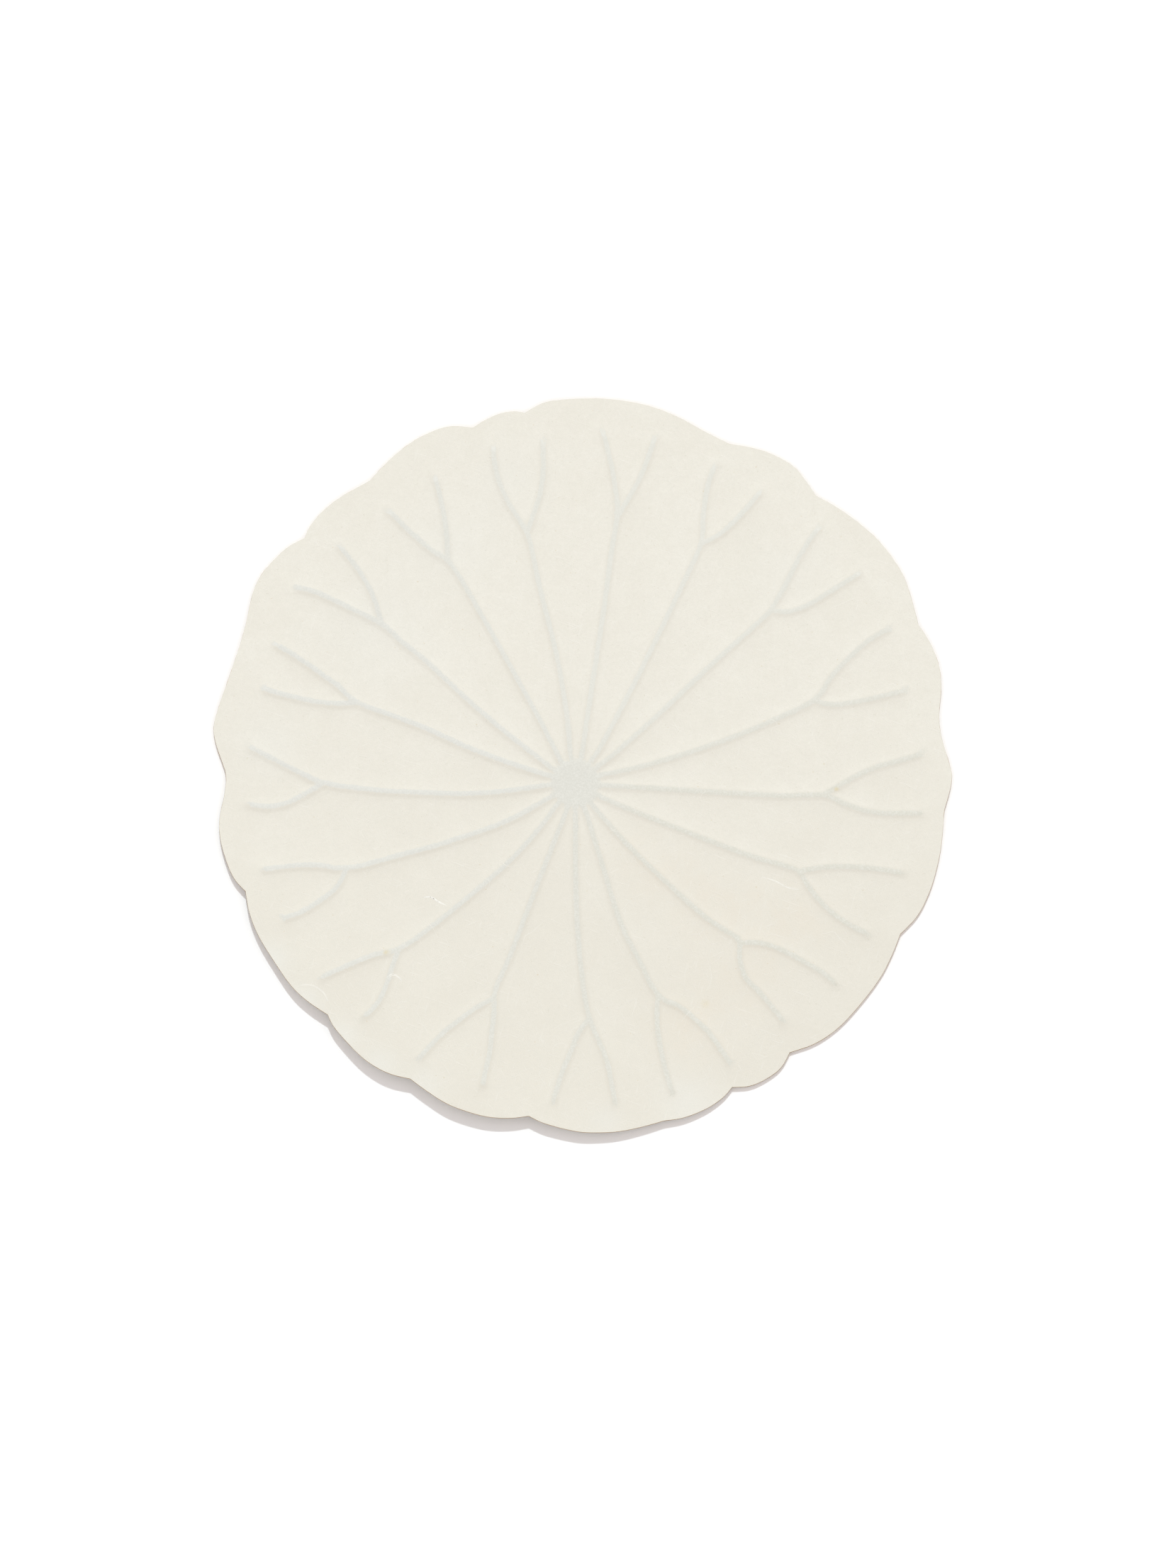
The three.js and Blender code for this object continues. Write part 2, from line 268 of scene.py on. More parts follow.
def leaf_rim():
    """The rim as one closed line, anticlockwise: smooth round each lobe and sharp at each notch."""
    corners = np.unique(node_points("core_board")[:, :2], axis=0)
    spokes = corners - HUB
    corners = corners[np.argsort(np.arctan2(spokes[:, 1], spokes[:, 0]))]

    def turns(line):
        run = np.roll(line, -1, 0) - line
        heading = np.arctan2(run[:, 1], run[:, 0])
        return (heading - np.roll(heading, 1) + math.pi) % (2 * math.pi) - math.pi

    corners = corners[np.abs(turns(corners)) > STRAIGHT_TURN]
    notches = np.flatnonzero(turns(corners) < NOTCH_TURN)
    corners = np.roll(corners, -notches[0], 0)
    notches = [*(notches - notches[0]), len(corners)]
    closed = np.vstack([corners, corners[:1]])
    lobes = [smooth_line(closed[a : b + 1], RIM_STEP)[:-1] for a, b in zip(notches, notches[1:])]
    return np.vstack(lobes)


# The curl is smoothed over the CAD's facets: all in millimetres along its heading.
CURL_SMOOTHING = 6.0
CURL_REACH = 18
CURL_END = 25
# The board's upper facets that lean have an upward part of their normal between these.
LEANING = (0.5, 0.9999)


def read_curl():
    """Which way the mat curls up, and how high it has risen at each distance that way from the hub."""
    heading = np.zeros(2)
    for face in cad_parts["core_board"].data.polygons:
        if LEANING[0] < face.normal.z < LEANING[1]:
            heading -= np.array(face.normal[:2]) * face.area
    heading /= np.hypot(*heading)
    under = {}
    for x, y, z in node_points("core_board"):
        under[x, y] = min(z, under.get((x, y), 1.0))
    distance = np.array([(np.array(place) - HUB) @ heading for place in under])
    rise = np.array(list(under.values())) - BOARD_LOW
    order = np.argsort(distance)
    grid = np.arange(-200, 201) * MM
    rough = np.interp(grid, distance[order], rise[order])
    around = np.arange(-CURL_REACH, CURL_REACH + 1)
    spread = np.exp(-0.5 * (around / CURL_SMOOTHING) ** 2)
    smooth = np.convolve(np.pad(rough, CURL_REACH, mode="edge"), spread / spread.sum(), mode="valid")
    # The smoothing flattens the very end, so the curl goes on from before it at the same slope.
    end = np.flatnonzero(grid < distance.max())[-CURL_END]
    slope = np.gradient(smooth, grid)[end]
    smooth = np.where(grid < grid[end], smooth, smooth[end] + slope * (grid - grid[end]))
    return heading, grid, smooth


CURL_HEADING, CURL_AT, CURL_RISE = read_curl()


def curl_rise(places):
    """How high the mat has curled up at each place."""
    return np.interp((places - HUB) @ CURL_HEADING, CURL_AT, CURL_RISE)


# Two of a cord's sections are more than this apart.
SECTION_GAP = 2 * MM
# A branch may start this far past the place it points at, and how much less that distance counts.
FORK_SLACK = 1 * MM
FORK_WEIGHT = 0.05


def stations(name):
    """The middles of a CAD cord's sections, from its inner end outwards."""
    places = node_points(name)[:, :2]
    reach = np.hypot(*(places - HUB).T)
    order = np.argsort(reach)
    places, reach = places[order], reach[order]
    middles = []
    for section in np.split(places, np.flatnonzero(np.diff(reach) > SECTION_GAP) + 1):
        gaps = np.hypot(*(section[:, None] - section[None]).transpose(2, 0, 1))
        a, b = np.unravel_index(gaps.argmax(), gaps.shape)
        middles.append((section[a] + section[b]) / 2)
    return np.array(middles)


def fork(main, branch):
    """Where a branch leaves its main cord: its first two sections point back at the place."""
    back = (branch[0] - branch[1]) / np.hypot(*(branch[0] - branch[1]))
    offset = main - branch[0]
    ahead = offset @ back
    aside = np.abs(offset[:, 0] * back[1] - offset[:, 1] * back[0])
    misses = np.where(ahead > -FORK_SLACK, aside + FORK_WEIGHT * np.abs(ahead), np.inf)
    return main[np.argmin(misses)]


def vein_lines():
    """The centre lines of the main cords and of the branches, finely divided."""
    mains, branches = [], []
    for name in sorted(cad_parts):
        if name.endswith("_cord"):
            main = smooth_line(stations(name), LINE_STEP)
            branch = stations(name.replace("_cord", "_branch"))
            start = fork(main, branch)
            mains.append(main)
            branches.append(smooth_line(np.vstack([start, branch[1:]]), LINE_STEP))
    return mains, branches


RIM = leaf_rim()
MAINS, BRANCHES = vein_lines()
CREASE_LINES = [smooth_line(HUB + np.array(route) * MM, LINE_STEP) for route in CREASES]


# ---------------------------------------------------------------- the shape of the paper


def tree_of(lines):
    """All the lines' places, in a tree that finds the nearest one."""
    places = np.vstack(lines)
    tree = KDTree(len(places))
    for i, (x, y) in enumerate(places):
        tree.insert((x, y, 0), i)
    tree.balance()
    return tree


def gaps_to(tree, places):
    """How far each place is from the nearest place in a tree."""
    return np.array([tree.find((x, y, 0))[2] for x, y in places])


def to_disc(line):
    """The places between a main cord's inner end and the disc, which the paper bridges."""
    start = line[0] - HUB
    reach = np.hypot(*start)
    steps = np.arange(reach - LINE_STEP, DISC_RADIUS - 1 * MM, -LINE_STEP)[::-1]
    return HUB + start / reach * steps[:, None]


# A ridge's round end has its middle this many places before the end of the cord.
TRIM = 4
BRIDGED = [np.vstack([to_disc(line), line]) for line in MAINS]
MAIN_TREE = tree_of([line[:-TRIM] for line in BRIDGED])
BRANCH_TREE = tree_of([line[:-TRIM] for line in BRANCHES])
RIM_TREE = tree_of([RIM])


def waves(places, seed, shortest, longest, count):
    """A gentle seeded swell, from about -1 to 1."""
    pick = random.Random(seed)
    total = np.zeros(len(places))
    for _ in range(count):
        heading = pick.uniform(0, math.tau)
        length = pick.uniform(shortest, longest)
        along = places @ np.array([math.cos(heading), math.sin(heading)])
        total += np.sin(along * math.tau / length + pick.uniform(0, math.tau))
    return total / math.sqrt(count)


def ridge(gap):
    """How high the paper stands at a distance from the middle of a cord."""
    return sum(RIDGE * share * (1 - smoothstep(low, high, gap)) for share, low, high in RIDGE_PARTS)


def cord_gaps(places):
    """How far each place is from the middle of a main cord, of a branch, and from the disc's rounding."""
    reach = np.hypot(*(places - HUB).T)
    disc = np.maximum(reach - DISC_RADIUS + DISC_MARGIN, 0)
    return gaps_to(MAIN_TREE, places), gaps_to(BRANCH_TREE, places), disc


def creases(places):
    """How high the small folds stand at each place."""
    high = np.zeros(len(places))
    for line in CREASE_LINES:
        apart = np.hypot(*(places[:, None] - line[None, ::2]).transpose(2, 0, 1))
        at = np.argmin(apart, axis=1) / (len(line[::2]) - 1)
        high += CREASE_HEIGHT * np.sin(math.pi * at) * np.exp(-((apart.min(1) / CREASE_WIDTH) ** 2))
    return high


def paper_top(places):
    """The height of the paper's upper side."""
    high = sum(ridge(gap) ** RIDGE_BLEND for gap in cord_gaps(places)) ** (1 / RIDGE_BLEND)
    cockle = COCKLE_HEIGHT * (COCKLE_BASE + waves(places, 5, *COCKLE_SIZES, COCKLE_WAVES)).clip(0)
    return FACE_HIGH + curl_rise(places) + high + cockle + creases(places)


def field(step, clear, gap_of=None):
    """Places in a triangular pattern all over the leaf, clear of its rim and of what gap_of keeps free."""
    low, high = RIM.min(0), RIM.max(0)
    rows = np.arange(low[1], high[1], step * math.sqrt(0.75))
    places = [
        (x + (i % 2) * step / 2, y) for i, y in enumerate(rows) for x in np.arange(low[0], high[0], step)
    ]
    places = np.array(places)
    keep = gaps_to(RIM_TREE, places) > clear
    if gap_of:
        keep &= gap_of(places) > clear
    return places[keep]


def rows_beside(line, step, offsets):
    """Rows of places along both sides of a line."""
    spaced = smooth_line(line[:: max(1, round(step / LINE_STEP))], step)
    run = np.gradient(spaced, axis=0)
    side = np.stack([-run[:, 1], run[:, 0]], 1) / np.hypot(*run.T)[:, None]
    return np.vstack([spaced + side * o * MM for offset in offsets for o in {offset, -offset}])


def rings(radii, step):
    """Places in circles round the hub."""
    places = []
    for radius in radii:
        count = round(math.tau * radius / step)
        turn = np.arange(count) * math.tau / count
        places.append(HUB + radius * np.stack([np.cos(turn), np.sin(turn)], 1))
    return np.vstack(places)


def thinned(fixed, loose, closest):
    """The loose places that aren't too close to a fixed one or to each other, in the order given."""
    cells = {}
    kept = []

    def near(x, y):
        i, j = int(x // closest), int(y // closest)
        around = ((i + a, j + b) for a in (-1, 0, 1) for b in (-1, 0, 1))
        return any(math.hypot(x - u, y - v) < closest for c in around for u, v in cells.get(c, ()))

    for x, y in fixed:
        cells.setdefault((int(x // closest), int(y // closest)), []).append((x, y))
    for x, y in loose:
        if not near(x, y):
            cells.setdefault((int(x // closest), int(y // closest)), []).append((x, y))
            kept.append((x, y))
    return np.array(kept)


# ---------------------------------------------------------------- meshes


def rim_reach(places):
    """How far the rim is from the hub in the direction of each place."""
    spokes = RIM - HUB
    turn = np.arctan2(spokes[:, 1], spokes[:, 0])
    order = np.argsort(turn)
    ways = places - HUB
    return np.interp(
        np.arctan2(ways[:, 1], ways[:, 0]), turn[order], np.hypot(*spokes[order].T), period=math.tau
    )


def outward(line):
    """The way out at each place of a closed line, as unit steps."""
    run = np.roll(line, -1, 0) - np.roll(line, 1, 0)
    return np.stack([run[:, 1], -run[:, 0]], 1) / np.hypot(*run.T)[:, None]


def net(rim, inner):
    """Triangles between the rim and the places inside it, facing up. The rim's places come first."""
    places = np.vstack([rim, inner])
    corners = [Vector(place) for place in places]
    made = delaunay_2d_cdt(corners, [], [list(range(len(rim)))], 1, 1e-8, True)
    first = [ids[0] for ids in made[3]]
    inside = (face for face, source in zip(made[2], made[5]) if source)
    return places, [tuple(first[i] for i in face) for face in inside]


def mesh_piece(name, points, faces, sharp=40):
    """A new piece, smooth apart from edges that turn more than sharp degrees."""
    mesh = bpy.data.meshes.new(name)
    mesh.from_pydata([tuple(p) for p in points], [], faces)
    mesh.validate()
    mesh.shade_smooth()
    mesh.set_sharp_from_angle(angle=math.radians(sharp))
    piece = bpy.data.objects.new(name, mesh)
    bpy.context.scene.collection.objects.link(piece)
    return piece


def paint(piece, name, values):
    """Stores one number for each vertex, for the piece's material to read."""
    layer_of = piece.data.attributes.new(name, "FLOAT", "POINT")
    layer_of.data.foreach_set("value", np.asarray(values, np.float32))


def sheet_mesh(name, rim, inner, top, thickness, rows, fray, slant, seed):
    """A closed sheet. Its edge slants out, and has rows of places, moved in and out by up to fray."""
    places, faces = net(rim, inner)
    level = top(places)
    count, edge = len(places), len(rim)
    points = [np.column_stack([places, level]), np.column_stack([places, level - thickness])]
    pick = np.random.default_rng(seed)
    out = outward(rim)
    points[1][:edge, :2] += out * slant
    for row in range(1, rows):
        shift = pick.uniform(-1, 1, edge)
        shift = (shift + np.roll(shift, 1) + np.roll(shift, -1)) / 2 * fray
        ring = rim + out * (shift + slant * row / rows)[:, None]
        points.append(np.column_stack([ring, level[:edge] - thickness * row / rows]))
    starts = [0, *(2 * count + row * edge for row in range(rows - 1)), count]
    under = [tuple(count + i for i in reversed(face)) for face in faces]
    wall = [
        (a + i, b + i, b + (i + 1) % edge, a + (i + 1) % edge)
        for a, b in zip(starts, starts[1:])
        for i in range(edge)
    ]
    return mesh_piece(name, np.vstack(points), faces + under + wall)


def tube_mesh(name, paths, section):
    """Closed tubes along paths. section gives the side and up offsets round each place."""
    points, faces, base = [], [], 0
    for number, path in enumerate(paths):
        run = np.gradient(path, axis=0)
        run /= np.linalg.norm(run, axis=1)[:, None]
        side = np.column_stack([-run[:, 1], run[:, 0], np.zeros(len(run))])
        side /= np.linalg.norm(side, axis=1)[:, None]
        up = np.cross(run, side)
        aside, above = section(number, path)
        ring = path[:, None] + side[:, None] * aside[..., None] + up[:, None] * above[..., None]
        count, around = aside.shape
        points.append(ring.reshape(-1, 3))
        for i in range(count - 1):
            for j in range(around):
                a, b = base + i * around + j, base + i * around + (j + 1) % around
                faces.append((a, b, b + around, a + around))
        faces.append(tuple(base + j for j in reversed(range(around))))
        faces.append(tuple(base + (count - 1) * around + j for j in range(around)))
        base += count * around
    return mesh_piece(name, np.vstack(points), faces)


def patches(places, listed):
    """How strongly each place lies in one of the listed soft-edged patches."""
    spots = (places - HUB) / MM
    total = np.zeros(len(places))
    for x, y, size, strength in listed:
        total += strength * np.exp(-((spots - (x, y)) ** 2).sum(1) / size**2)
    return total


def tip_light(places):
    """Painted highlight and shade near the end of each cord: from -1, painted shade, where it faces the
    near side of the mat, away from the window, to 1, painted highlight, at the far side.
    """
    light = np.zeros(len(places))
    for line in MAINS + BRANCHES:
        ahead = (line[-1] - line[-3]) / np.hypot(*(line[-1] - line[-3]))
        gap = np.hypot(*(places - line[-1] - ahead * TIP_AHEAD).T)
        light += ahead[1] * np.exp(-((gap / TIP_SIZE) ** 2))
    return light


def make_face():
    """The paper on top, in one sheet over the board, the cords and the disc."""

    def gap_of(places):
        return np.minimum(gaps_to(MAIN_TREE, places), gaps_to(BRANCH_TREE, places))

    grid = field(FIELD_STEP, CORD_CLEAR, gap_of)
    rows = np.vstack([rows_beside(line, ROW_STEP, ROW_OFFSETS) for line in BRIDGED + BRANCHES])
    folds = np.vstack([rows_beside(line, ROW_STEP, FOLD_OFFSETS) for line in CREASE_LINES])
    round_disc = rings(DISC_RADIUS + np.array(DISC_RINGS) * MM, DISC_RING_STEP)
    inner = thinned(RIM, np.vstack([round_disc, rows, folds, grid]), CLOSEST)
    inner = inner[np.hypot(*(inner - HUB).T) < rim_reach(inner)]
    face = sheet_mesh(
        "washi_face", RIM, inner, paper_top, PAPER, rows=2, fray=PAPER_FRAY, slant=PAPER_SLANT, seed=11
    )
    paint_face(face, len(RIM) + len(inner))
    return face


def paint_face(face, upper_count):
    """Stores where the cords show, with their painted sheen and painted light, the painted highlight and
    shade at their ends, the painted shade beside them, where the paper differs, and what is below its upper
    side.
    """
    flat = np.empty(3 * len(face.data.vertices))
    face.data.vertices.foreach_get("co", flat)
    places = flat.reshape(-1, 3)[:, :2]
    turn = np.arctan2(*(places - HUB).T[::-1])
    away = smoothstep(*HUB_FADE, np.hypot(*(places - HUB).T))
    blue_tint_and_sheen = HUB_BLUE + (0.5 + 0.5 * np.cos(turn - BLUE_WAY) - HUB_BLUE) * away
    # The cords' tint is drifted towards the window by a painted bluish sheen, most where it is bluest.
    shifted = places - np.column_stack([0 * blue_tint_and_sheen, blue_tint_and_sheen * BLUE_SHEEN_DRIFT])
    main, branch, disc = cord_gaps(shifted)
    cord = 1 - smoothstep(*CORD_FADE, np.minimum(main, branch))
    card = 1 - smoothstep(*CARD_FADE, disc)
    paint(face, "over_cord", np.maximum(cord, card))
    # Painted shade beside each cord, drifted away from the window.
    shaded = places + np.array([0, SHADE_DRIFT])
    paint(face, "painted_shade_beside_cord", 1 - smoothstep(*SHADE_FADE, np.min(cord_gaps(shaded), axis=0)))
    paint(face, "blue_tint_and_sheen", blue_tint_and_sheen)
    # Painted light: the cords are painted lighter on the window side of the hub.
    paint(face, "light", np.cos(turn - LIGHT_WAY).clip(0) ** 2 * away)
    # Painted highlight and painted shade at the cords' ends.
    paint(face, "tip_highlight_and_shade", tip_light(places))
    paint(face, "pale", patches(places, PALE_PATCHES))
    paint(face, "warm", patches(places, WARM_PATCHES))
    paint(face, "fleck", patches(places, FLECKS))
    paint(face, "cut", np.arange(len(places)) >= upper_count)


def plain_places():
    """Places inside the rim for a layer that is smooth on both sides."""
    inner = field(PLAIN_STEP, PLAIN_CLEAR)
    return inner[np.hypot(*(inner - HUB).T) < rim_reach(inner)]


def make_board():
    """The stiff board, with a rough cut edge."""

    def top(places):
        return BOARD_HIGH + curl_rise(places)

    rim = RIM - outward(RIM) * BOARD_INSET
    inner, thickness = plain_places(), BOARD_HIGH - BOARD_LOW
    return sheet_mesh(
        "mat_board", rim, inner, top, thickness, rows=5, fray=BOARD_FRAY, slant=BOARD_SLANT, seed=12
    )


def make_lining():
    """The plainer paper under the board."""

    def top(places):
        return LINING_HIGH + curl_rise(places)

    rim = RIM + outward(RIM) * LINING_OUTSET
    return sheet_mesh(
        "washi_lining", rim, plain_places(), top, PAPER, rows=2, fray=PAPER_FRAY, slant=PAPER_SLANT, seed=13
    )


def make_cords():
    """The cords under the paper: three strands of twisted paper each, flattened where they are pasted."""
    mains = [line[::3] for line in MAINS]
    branches = [line[round(FORK_GAP / LINE_STEP) :: 3] for line in BRANCHES]
    paths = []
    for line in mains + branches:
        paths.append(np.column_stack([line, CORD_LOW + CORD_HEIGHT / 2 + curl_rise(line)]))

    def section(number, path):
        along = np.concatenate([[0], np.cumsum(np.linalg.norm(np.diff(path, axis=0), axis=1))])
        turn = np.arange(CORD_SIDES) * math.tau / CORD_SIDES
        twist = 3 * (turn[None] - along[:, None] * math.tau / CORD_PITCH + number)
        swell = 0.94 + 0.06 * np.cos(twist)
        return swell * np.cos(turn) * CORD_HALF, swell * np.sin(turn) * CORD_HEIGHT / 2

    return tube_mesh("vein_cords", paths, section)


def make_disc():
    """The card disc at the hub, with its upper edge pressed round."""
    radius, low, high = DISC_RADIUS, DISC_LOW.z, DISC_HIGH.z
    edge = [(1.0, 0.0), (1.0, 0.45), (0.985, 0.75), (0.955, 0.93), (0.9, 1.0)]
    side = [(radius * a, low + (high - low) * b) for a, b in edge]
    side += [(radius * a, high) for a in (0.7, 0.45, 0.2)]
    count = 96
    turn = np.arange(count) * math.tau / count
    points = [(HUB[0] + r * math.cos(t), HUB[1] + r * math.sin(t), z) for r, z in side for t in turn]
    faces = [
        (k * count + i, k * count + (i + 1) % count, (k + 1) * count + (i + 1) % count, (k + 1) * count + i)
        for k in range(len(side) - 1)
        for i in range(count)
    ]
    points += [(*HUB, high), (*HUB, low)]
    last, middle, under = (len(side) - 1) * count, len(points) - 2, len(points) - 1
    faces += [(last + i, last + (i + 1) % count, middle) for i in range(count)]
    faces += [((i + 1) % count, i, under) for i in range(count)]
    return mesh_piece("hub_card", points, faces)


# ---------------------------------------------------------------- loose fibres in the paper


def strand(start, heading, length, pick):
    """A curly line on the paper."""
    places, at, turn = [np.array(start)], np.array(start), 0
    for _ in range(round(length / STRAND_STEP)):
        turn = 0.85 * turn + pick.gauss(0, 0.09)
        heading += turn
        at = at + STRAND_STEP * np.array([math.cos(heading), math.sin(heading)])
        places.append(at)
    return np.array(places)


def make_fibres():
    """The loose fibres, as thin flat strands half sunk in the paper."""
    pick = random.Random(29)
    lines, widths, tones = [], [], []
    for route, width, tone in BRIGHT_FIBRES:
        for _ in range(BUNDLE_THREADS):
            sway = [pick.gauss(0, BUNDLE_SWAY) for _ in range(2)]
            line = smooth_line(HUB + (np.array(route) + sway) * MM, THREAD_STEP)
            waver = np.cumsum([[pick.gauss(0, THREAD_WAVER) for _ in range(2)] for _ in line], axis=0)
            lines.append(line + waver * MM)
            widths.append(width * pick.uniform(0.5, 1.0) * MM)
            tones.append(tone)
    while len(lines) < FIBRE_COUNT:
        turn, reach = pick.uniform(0, math.tau), FIBRE_SPREAD * math.sqrt(pick.random())
        start = HUB + reach * np.array([math.cos(turn), math.sin(turn)])
        line = strand(start, pick.uniform(0, math.tau), pick.uniform(*FIBRE_LENGTHS) * MM, pick)
        if np.all(np.hypot(*(line - HUB).T) < rim_reach(line) - FIBRE_CLEAR):
            lines.append(line)
            widths.append(pick.uniform(*FIBRE_WIDTHS) * MM)
            tones.append(pick.uniform(*FIBRE_TONES))
    levels = paper_top(np.vstack(lines))
    starts = np.cumsum([0, *(len(line) for line in lines)])
    paths = [np.column_stack([line, levels[a:b]]) for line, a, b in zip(lines, starts, starts[1:])]

    def section(number, path):
        taper = np.sin(np.linspace(0.12, math.pi - 0.12, len(path))) ** 0.5
        turn = np.arange(FIBRE_SIDES) * math.tau / FIBRE_SIDES
        aside = taper[:, None] * np.cos(turn) * widths[number] / 2
        above = taper[:, None] * np.sin(turn) * FIBRE_HALF_HEIGHT
        return aside, above

    fibres = tube_mesh("washi_fibres", paths, section)
    shown = [tone for tone, path in zip(tones, paths) for _ in range(FIBRE_SIDES * len(path))]
    paint(fibres, "bright", shown)
    return fibres


# ---------------------------------------------------------------- materials


def linear(*colour):
    """An sRGB colour from 0 to 255 as linear light."""
    parts = [c / 255 for c in colour]
    return [c / 12.92 if c <= 0.04045 else ((c + 0.055) / 1.055) ** 2.4 for c in parts]


LEVELS = [LIGHT_LEVEL * (SUN_SHARE * a + (1 - SUN_SHARE) * b) for a, b in zip(SUN_TINT, SKY_TINT)]


def finish_of(*colour):
    """The surface colour that shows as this sRGB colour where the mat lies level."""
    return (*(c / level for c, level in zip(linear(*colour), LEVELS)), 1)


class Nodes:
    """Makes one material's nodes."""

    def __init__(self, name):
        self.material = bpy.data.materials.new(name)
        self.material.use_nodes = True
        self.tree = self.material.node_tree
        self.shader = self.tree.nodes["Principled BSDF"]
        self.coords = self.tree.nodes.new("ShaderNodeTexCoord").outputs["Object"]

    def new(self, kind, links, **settings):
        made = self.tree.nodes.new(kind)
        for key, value in settings.items():
            setattr(made, key, value)
        for socket, value in links.items():
            if isinstance(value, bpy.types.NodeSocket):
                self.tree.links.new(value, made.inputs[socket])
            else:
                made.inputs[socket].default_value = value
        return made

    def noise(self, size, detail=3.0, coords=None, rough=0.55, distortion=0.0):
        """Noise with spots of about this size, from 0 to 1."""
        links = {
            "Vector": coords or self.coords,
            "Scale": 1 / size,
            "Detail": detail,
            "Roughness": rough,
            "Distortion": distortion,
        }
        return self.new("ShaderNodeTexNoise", links).outputs["Fac"]

    def stretched(self, turn, size):
        """Coordinates in which a grain of this size, turned about the vertical, measures one."""
        links = {"Vector": self.coords, "Rotation": (0, 0, turn), "Scale": size}
        return self.new("ShaderNodeMapping", links, vector_type="TEXTURE").outputs["Vector"]

    def math(self, operation, a, b=0.0, clamp=False):
        return self.new("ShaderNodeMath", {0: a, 1: b}, operation=operation, use_clamp=clamp).outputs[0]

    def span(self, value, low, high, to_low=0.0, to_high=1.0):
        """A value's smooth rise from to_low at low to to_high at high."""
        links = {"Value": value, "From Min": low, "From Max": high, "To Min": to_low, "To Max": to_high}
        return self.new("ShaderNodeMapRange", links, interpolation_type="SMOOTHSTEP").outputs["Result"]

    def mix(self, factor, a, b, blend="MIX"):
        made = self.new("ShaderNodeMix", {0: factor}, data_type="RGBA", blend_type=blend)
        for socket, value in ((6, a), (7, b)):
            if isinstance(value, bpy.types.NodeSocket):
                self.tree.links.new(value, made.inputs[socket])
            else:
                made.inputs[socket].default_value = value
        return made.outputs[2]

    def painted(self, name):
        """What paint stored on the piece under this name."""
        return self.new("ShaderNodeAttribute", {}, attribute_name=name).outputs["Fac"]

    def bump(self, height, distance, strength=1.0):
        links = {"Height": height, "Distance": distance, "Strength": strength}
        return self.new("ShaderNodeBump", links).outputs["Normal"]

    def done(self, colour, rough, normal, **constants):
        """Links the shader up, sets its constants and hands the material over."""
        self.tree.links.new(colour, self.shader.inputs["Base Color"])
        self.tree.links.new(rough, self.shader.inputs["Roughness"])
        self.tree.links.new(normal, self.shader.inputs["Normal"])
        for name, value in constants.items():
            self.shader.inputs[name.replace("_", " ")].default_value = value
        return self.material


# The fibres in the sheet: their length, and which way some of them lie and how wide they are.
FIBRE_LENGTH = 9 * MM
FIBRE_GRAINS = ((0.4, 0.55 * MM), (1.3, 0.7 * MM), (2.1, 0.5 * MM), (2.8, 0.62 * MM))


def fibre_pattern(n):
    """Fine fibres lying every way in the sheet, from 0 to 1."""
    total = None
    for turn, across in FIBRE_GRAINS:
        coords = n.stretched(turn, (FIBRE_LENGTH, across, across))
        streak = n.span(n.noise(1.0, 2.0, coords, distortion=0.6), 0.60, 0.74)
        total = streak if total is None else n.math("MAXIMUM", total, streak)
    return total


